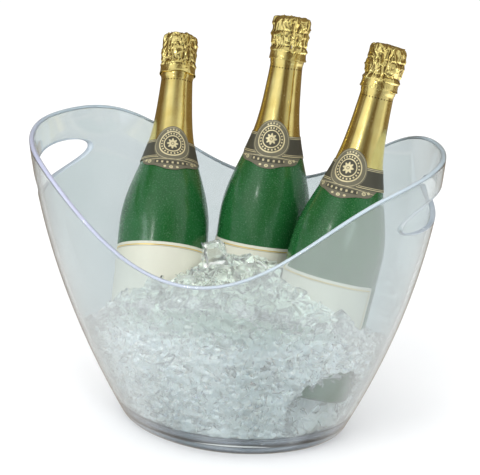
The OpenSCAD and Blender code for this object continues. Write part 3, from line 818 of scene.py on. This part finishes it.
GLASS, FOIL, HOOD = mat_glass(), mat_foil(), mat_foil(True)
NLABEL = mat_label("neck_label_paper", (0.122, 0.113, 0.075), (0.045, 0.043, 0.029), (0.70, 0.62, 0.37))
BLABEL = mat_label("body_label_paper", (0.60, 0.60, 0.51), (0.10, 0.085, 0.055), (0.64, 0.48, 0.15))
for w in POSE: build_bottle(w)

# carried-over CAD nodes get a finish of their own
cork_m = Mat("cork", base=(0.6, 0.4, 0.22), rough=0.8)
cork_m.to(cork_m.ramp(cork_m.noise(380, 5, 0.7), [(0.3, (0.30, 0.17, 0.08)), (0.6, (0.62, 0.43, 0.25)), (0.8, (0.72, 0.54, 0.34))]), "Base Color")
cork_m.bump(cork_m.noise(500, 5), 0.4, 0.0005)
wire_m = Mat("cage_wire", base=(0.62, 0.62, 0.60), metal=1.0, rough=0.32)
wire_m.to(wire_m.maprange(wire_m.noise(900, 3), 0.3, 0.7, 0.22, 0.45), "Roughness")
cap_m = Mat("cap_lacquer", base=(0.72, 0.58, 0.22), metal=0.9, rough=0.3)
cap_m.to(cap_m.maprange(cap_m.noise(300, 3), 0.3, 0.7, 0.2, 0.4), "Roughness")
wine_m = Mat("wine", base=(0.80, 0.72, 0.30), trans=0.8, ior=1.34, rough=0.02)
wine_m.to(wine_m.ramp(wine_m.noise(30, 2), [(0.3, (0.74, 0.66, 0.26)), (0.7, (0.84, 0.76, 0.34))]), "Base Color")
for w in POSE:
    for n, mt in (("cork_", cork_m), ("muselet_", wire_m), ("cap_", cap_m), ("wine_", wine_m)):
        assign(nodes[n + w], mt)

# ---------------------------------------------------------------- ice
def bottle_gap(p):
    """distance (mm) from each point to the nearest bottle surface or its way out"""
    best = np.full(len(p), 1e9)
    for w, (o, d) in AXIS.items():
        steps = np.arange(0, 290, 12.0) if w == "left" else [0.0]
        for h in steps:
            q = p - (o + h * LIFT[w])
            s = q @ d
            rad = np.linalg.norm(q - s[:, None] * d, axis=1)
            if w == "left":
                R = np.where(s > 300, 18, glass_r(np.clip(s, 0, 290)))
            else:
                R = np.full(len(p), BODY_R)      # the body follows along its own axis
            g = rad - R
            g = np.where(s < 0, np.hypot(np.maximum(g, 0), -s), g)
            best = np.minimum(best, g)
    return best

def wall_gap(p):
    """rough distance (mm) inside the bucket's inner wall"""
    z = p[:, 2]
    A, B = AA(z) - 5, BB(z) - 5
    g = ((np.abs(p[:, 0]) / A) ** PN + (np.abs(p[:, 1]) / B) ** PN) ** (1 / PN)
    rad = np.hypot(p[:, 0], p[:, 1])
    return rad * (1 / np.maximum(g, 1e-3) - 1)

def ice_top(x, y):
    E = lambda t: smoothstep(t, 0, 1)
    return (134 + 36 * np.exp(-((x - 8) / np.where(x > 8, 112, 80)) ** 2) + 3 * np.exp(-((x + 66) / 34) ** 2) - 0.05 * y
            - 0.25 * np.maximum(y - 10, 0) - E((-x - 80) / 45) * (22 + 0.42 * np.maximum(y + 75, 0))
            - E((x - 95) / 45) * (12 + 0.45 * np.maximum(y + 60, 0)))
HOLLOW, HOLLOW_R = np.array([110, -50, 50.0]), 42.0

def build_ice():
    """the packed, cloudy core of the ice: the CAD bed, shrunk a little and broken into facets"""
    src = nodes["ice_bed"]
    ob = bpy.data.objects.new("ice_mass", src.data.copy())
    bpy.context.scene.collection.objects.link(ob)
    rm = ob.modifiers.new("remesh", "REMESH"); rm.mode = "VOXEL"; rm.voxel_size = 0.0020
    dg = bpy.context.evaluated_depsgraph_get()
    me = bpy.data.meshes.new_from_object(ob.evaluated_get(dg))
    ob.modifiers.clear(); ob.data = me
    n = len(me.vertices)
    co = np.zeros(n * 3, np.float32); me.vertices.foreach_get("co", co); co = co.reshape(-1, 3).astype(float) / MM
    nr = np.zeros(n * 3, np.float32); me.vertices.foreach_get("normal", nr); nr = nr.reshape(-1, 3).astype(float)
    lo, hi = co.min(0), co.max(0)
    r0 = np.random.default_rng(11)
    seeds = r0.uniform(lo - 4, hi + 4, (26000, 3))
    ks = kdtree.KDTree(len(seeds))
    for i, c in enumerate(seeds): ks.insert(Vector(c), i)
    ks.balance()
    tilt = r0.normal(0, 1, (len(seeds), 3)); tilt /= np.linalg.norm(tilt, axis=1)[:, None]
    lift = r0.uniform(-2.6, -0.4, len(seeds))
    idx = np.array([ks.find(Vector(c))[1] for c in co])
    d = lift[idx] + 0.40 * ((co - seeds[idx]) * tilt[idx]).sum(1)
    d = np.clip(d, -8.5, -0.3)
    # thinner where clear pieces lie over it, at the wall and on top
    top = smoothstep(nr[:, 2], 0.2, 0.8)
    near = 1 - smoothstep(wall_gap(co), 3, 14)
    co2 = co + nr * (d - 3.2 * top)[:, None]
    inward = 4.2 * near * smoothstep(co[:, 2], 20, 32)
    co2[:, :2] -= co[:, :2] / np.maximum(np.hypot(co[:, 0], co[:, 1]), 1)[:, None] * inward[:, None]
    me.vertices.foreach_set("co", (co2 * MM).astype(np.float32).ravel())
    me.polygons.foreach_set("use_smooth", np.zeros(len(me.polygons), bool))
    me.update()
    assign(ob, ICE)
    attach(ob, "bucket"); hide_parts("ice_bed")
    return ob

def rand_rot(r0):
    from mathutils import Quaternion
    q = r0.normal(0, 1, 4); q /= np.linalg.norm(q)
    return np.array(Quaternion(q).to_matrix())

def shard_pts(r0, size, kind):
    """corner points of one broken piece (mm), centred"""
    if kind == 0:      # chip: flat and sharp
        p = r0.uniform(-1, 1, (9, 3)) * [0.5, 0.42, 0.16]
    elif kind == 1:    # splinter
        p = r0.uniform(-1, 1, (9, 3)) * [0.55, 0.2, 0.15]
    else:              # block with knocked corners
        c = np.array([[i, j, k] for i in (-1, 1) for j in (-1, 1) for k in (-1, 1)], float)
        p = np.vstack([c * r0.uniform(0.28, 0.5, (8, 3)), r0.uniform(-0.45, 0.45, (3, 3))])
    return p * size @ rand_rot(r0).T

def add_hull(bm, pts):
    vs = [bm.verts.new(Vector(p) * MM) for p in pts]
    res = bmesh.ops.convex_hull(bm, input=vs)
    bmesh.ops.delete(bm, geom=[g for g in res["geom_interior"] if isinstance(g, bmesh.types.BMVert)], context="VERTS")

def finish_shards(name, bm, mat, width):
    loose = [v for v in bm.verts if not v.link_faces]
    if loose: bmesh.ops.delete(bm, geom=loose, context="VERTS")
    bmesh.ops.recalc_face_normals(bm, faces=bm.faces)
    me = bpy.data.meshes.new(name); bm.to_mesh(me); bm.free()
    ob = bpy.data.objects.new(name, me)
    bpy.context.scene.collection.objects.link(ob)
    bv = ob.modifiers.new("melt", "BEVEL"); bv.width = width; bv.segments = 2 if "top" in name else 1; bv.limit_method = "ANGLE"; bv.angle_limit = 0.4
    me.polygons.foreach_set("use_smooth", np.ones(len(me.polygons), bool))
    ob.visible_shadow = False
    assign(ob, mat)
    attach(ob, "bucket")
    return ob

def hollow_gap(p): return np.linalg.norm(p - HOLLOW, axis=1) - HOLLOW_R

def build_shards():
    r0 = np.random.default_rng(23)
    # 1: clear pieces strewn over the top
    bm = bmesh.new(); made = 0
    for _ in range(7000):
        if made >= 520: break
        x, y = r0.uniform(-150, 150), r0.uniform(-128, 110)
        z = float(ice_top(np.float64(x), np.float64(y))) + r0.uniform(-9, 0.5)
        pts = shard_pts(r0, r0.uniform(9, 21), int(r0.integers(0, 3))) + [x, y, z]
        if wall_gap(pts).min() < 1.0 or bottle_gap(pts).min() < 1.4: continue
        add_hull(bm, pts); made += 1
    n1 = made
    # one tall wedge standing between the left and middle bottles, and a few big chunks beside it
    wedge = np.array([[-26.5, -19, 189.5], [-5.5, -17, 191.5], [-23, -12, 188], [-6, -11, 189], [-2.5, -15, 176.5], [-3.5, -9, 176],
                      [-17, -21, 163], [-11, -12, 162], [-19, -14, 164]])
    add_hull(bm, wedge)
    for (cx, cy, cz), sz in (((12, -30, 176), 15), ((22, -24, 178), 13), ((33, -32, 176), 14), ((2, -44, 172), 16), ((44, -46, 170), 12), ((-20, -52, 170), 15)):
        pts = shard_pts(r0, sz, 2) + [cx, cy, cz]
        if bottle_gap(pts).min() > 1.2: add_hull(bm, pts)
    print("wedge gap", bottle_gap(wedge).min())
    finish_shards("ice_top_pieces", bm, ICE_CLEAR, 0.0005)
    # 2: clear pieces pressed against the wall, most of them at the front
    bm = bmesh.new(); made = 0
    for _ in range(22000):
        if made >= 1600: break
        a = r0.uniform(0, 2 * np.pi)
        if math.sin(a) > 0.3 and r0.random() < 0.6: continue
        z = r0.uniform(16, 165)
        A = np.array([a])
        q = pt(A, np.array([z]), 5 + r0.uniform(3.0, 8.5))[0]
        if q[2] > ice_top(q[0], q[1]) - 1: continue
        pts = shard_pts(r0, r0.uniform(6, 16), int(r0.integers(0, 3))) + q
        if wall_gap(pts).min() < 0.9 or bottle_gap(pts).min() < 1.4 or (hollow_gap(pts).min() < -6 and r0.random() < 0.8): continue
        if pts[:, 2].min() < 15.2: continue
        add_hull(bm, pts); made += 1
    # and a loose fringe where the heap meets the wall
    fr = 0
    for _ in range(5000):
        if fr >= 420: break
        a = r0.uniform(-0.15, 2 * np.pi + 0.15)
        if math.sin(a) > 0.25: continue
        A = np.array([a]); z = 150.0
        for _k in range(3):
            q = pt(A, np.array([z]), 5 + 6.0)[0]; z = float(ice_top(q[0], q[1]))
        q = pt(A, np.array([z + r0.uniform(-12, 5)]), 5 + r0.uniform(3.5, 13))[0]
        pts = shard_pts(r0, r0.uniform(6, 15), int(r0.integers(0, 3))) + q
        if wall_gap(pts).min() < 0.9 or bottle_gap(pts).min() < 1.4: continue
        add_hull(bm, pts); fr += 1
    print("shards", n1, made, fr)
    finish_shards("ice_wall_pieces", bm, ICE_WALL, 0.0003)

ICE = mat_ice("packed_ice", 0.0, 0.22, (0.955, 0.985, 0.98), sss=0.6)
ICE_WALL = mat_ice("frosted_ice", 0.90, 0.07, (0.985, 0.995, 0.992))
ICE_CLEAR = mat_ice("clear_ice", 0.96, 0.05, (0.955, 0.975, 0.96))
build_ice(); build_shards()
for i in range(1, 5):
    assign(nodes["ice_lump_%d" % i], ICE_CLEAR)
    nodes["ice_lump_%d" % i].visible_shadow = False

# ---------------------------------------------------------------- stage
def build_stage():
    n = 24
    V, F = [], []
    xs = np.linspace(-3.2, 3.2, n + 1)
    for y in np.linspace(-3.2, 3.6, n + 1):
        for x in xs: V.append((x, y, -0.0004))
    for j in range(n):
        for i in range(n):
            k = j * (n + 1) + i
            F.append((k, k + 1, k + n + 2, k + n + 1))
    ob = new_obj("floor", V, F)
    m = Mat("pale_floor", base=(0.93, 0.94, 0.95), rough=0.7)
    m.to(m.ramp(m.noise(6, 2), [(0.3, (0.92, 0.93, 0.94)), (0.7, (0.95, 0.955, 0.96))]), "Base Color")
    assign(ob, m)
    ob.visible_glossy = False
build_stage()

def area(name, loc, target, size, power, color=(1, 1, 1)):
    l = bpy.data.lights.new(name, "AREA"); l.shape = "RECTANGLE"; l.size, l.size_y = size
    l.energy = power; l.color = color
    o = bpy.data.objects.new(name, l); bpy.context.scene.collection.objects.link(o)
    o.location = loc
    o.rotation_mode = "QUATERNION"
    o.rotation_quaternion = (Vector(target) - Vector(loc)).to_track_quat("-Z", "Y")
    return o

TABLE = 2.7
def build_light():
    w = bpy.data.worlds.new("studio"); bpy.context.scene.world = w
    w.use_nodes = True
    w.cycles.sampling_method = "NONE"
    t = w.node_tree; t.nodes.clear()
    N, L = t.nodes.new, t.links.new
    out = N("ShaderNodeOutputWorld"); bg = N("ShaderNodeBackground"); lp = N("ShaderNodeLightPath")
    tc = N("ShaderNodeTexCoord"); sep = N("ShaderNodeSeparateXYZ"); L(tc.outputs["Generated"], sep.inputs[0])
    def dot(v):
        n = N("ShaderNodeVectorMath"); n.operation = "DOT_PRODUCT"; n.inputs[1].default_value = v
        L(tc.outputs["Generated"], n.inputs[0]); return n.outputs["Value"]
    def mth(op, a, b=0.0):
        n = N("ShaderNodeMath"); n.operation = op
        for s_, v_ in ((n.inputs[0], a), (n.inputs[1], b)):
            if hasattr(v_, "links"): L(v_, s_)
            else: s_.default_value = v_
        return n.outputs[0]
    ang = mth("ARCTAN2", dot((0.964, 0.267, 0)), dot((0.267, -0.964, 0)))
    fac = mth("ADD", mth("DIVIDE", ang, 2 * math.pi), 0.5)
    def ramp(fac, stops):
        n = N("ShaderNodeValToRGB"); e = n.color_ramp.elements
        while len(e) > 1: e.remove(e[0])
        rgb = lambda c: (tuple(c) if isinstance(c, tuple) else (c, c, c)) + (1,)
        e[0].position = stops[0][0]; e[0].color = rgb(stops[0][1])
        for p, c in stops[1:]:
            x = e.new(p); x.color = rgb(c)
        L(fac, n.inputs["Fac"]); return n.outputs["Color"]
    deg = lambda d: d / 360 + 0.5
    # the gaps between the banks of light are warm and dark, as a bar room is
    soft = ramp(fac, [(0.0, (0.21, 0.165, 0.115)), (deg(-104), (0.17, 0.115, 0.065)), (deg(-86), 0.45), (deg(-68), 1.05), (deg(-38), 1.05), (deg(-22), 0.62),
                      (deg(-8), (0.14, 0.10, 0.06)), (deg(14), (0.125, 0.09, 0.05)), (deg(28), 0.55), (deg(60), 0.62), (deg(70), 0.95), (deg(78), 0.9),
                      (deg(92), (0.22, 0.155, 0.085)), (1.0, (0.21, 0.165, 0.115))])
    # above, an even pale tent
    ez = ramp(mth("ADD", mth("MULTIPLY", sep.outputs["Z"], 0.5), 0.5), [(0.0, 0.0), (0.88, 0.0), (0.97, 1.0)])
    # the banks of light sit a little further round high up
    high = ramp(fac, [(0.0, (0.21, 0.165, 0.115)), (deg(-104), (0.17, 0.115, 0.065)), (deg(-86), 0.45), (deg(-68), 1.05), (deg(-38), 1.05), (deg(-22), 0.60),
                      (deg(-8), 0.24), (deg(8), (0.14, 0.10, 0.06)), (deg(30), (0.14, 0.10, 0.06)), (deg(50), 0.60), (deg(70), 0.95), (deg(100), 0.80),
                      (deg(125), (0.28, 0.20, 0.11)), (1.0, (0.21, 0.165, 0.115))])
    eh = ramp(mth("ADD", mth("MULTIPLY", sep.outputs["Z"], 0.5), 0.5), [(0.0, 0.0), (0.64, 0.0), (0.72, 1.0)])
    mh = N("ShaderNodeMix"); mh.data_type = "RGBA"
    L(eh, mh.inputs[0]); L(soft, mh.inputs[6]); L(high, mh.inputs[7]); soft = mh.outputs[2]
    mx0 = N("ShaderNodeMix"); mx0.data_type = "RGBA"
    L(ez, mx0.inputs[0]); L(soft, mx0.inputs[6]); mx0.inputs[7].default_value = (0.75, 0.75, 0.75, 1)
    # the bright white table that the outward-leaning wall mirrors
    tb = ramp(mth("ADD", mth("MULTIPLY", sep.outputs["Z"], 0.5), 0.5), [(0.0, 0.10), (0.05, 0.15), (0.08, 0.5), (0.115, 1.0), (0.24, 1.0), (0.30, 0.5), (0.35, 0.0)])
    ta = ramp(fac, [(0.0, 0.08), (deg(-160), 0.12), (deg(-135), 0.30), (deg(-102), 0.65), (deg(-50), 1.0), (deg(50), 1.0), (deg(102), 0.65), (deg(135), 0.30), (deg(160), 0.12), (1.0, 0.08)])
    tb = mth("MULTIPLY", tb, ta)
    mx = N("ShaderNodeMix"); mx.data_type = "RGBA"
    L(tb, mx.inputs[0]); L(mx0.outputs[2], mx.inputs[6]); mx.inputs[7].default_value = (TABLE, TABLE, TABLE, 1)
    mg = N("ShaderNodeMix"); mg.data_type = "RGBA"
    L(mth("MULTIPLY", lp.outputs["Is Glossy Ray"], mth("SUBTRACT", 1.0, lp.outputs["Is Transmission Ray"])), mg.inputs[0])
    mg.inputs[6].default_value = (1.06, 1.06, 1.06, 1); L(mx.outputs[2], mg.inputs[7])
    L(mg.outputs[2], bg.inputs["Color"]); bg.inputs["Strength"].default_value = 1.0
    L(bg.outputs[0], out.inputs["Surface"])
    k = area("key", (-1.5, -1.7, 1.9), (0, 0, 0.15), (1.2, 1.2), 27)
    k.visible_glossy = False
    f = area("fill", (1.5, -1.6, 1.5), (0, 0, 0.15), (1.0, 1.0), 21)
    f.visible_glossy = False
    area("glint", (-0.55, -1.5, 1.5), (0, 0, 0.15), (0.10, 0.16), 1.6)
build_light()
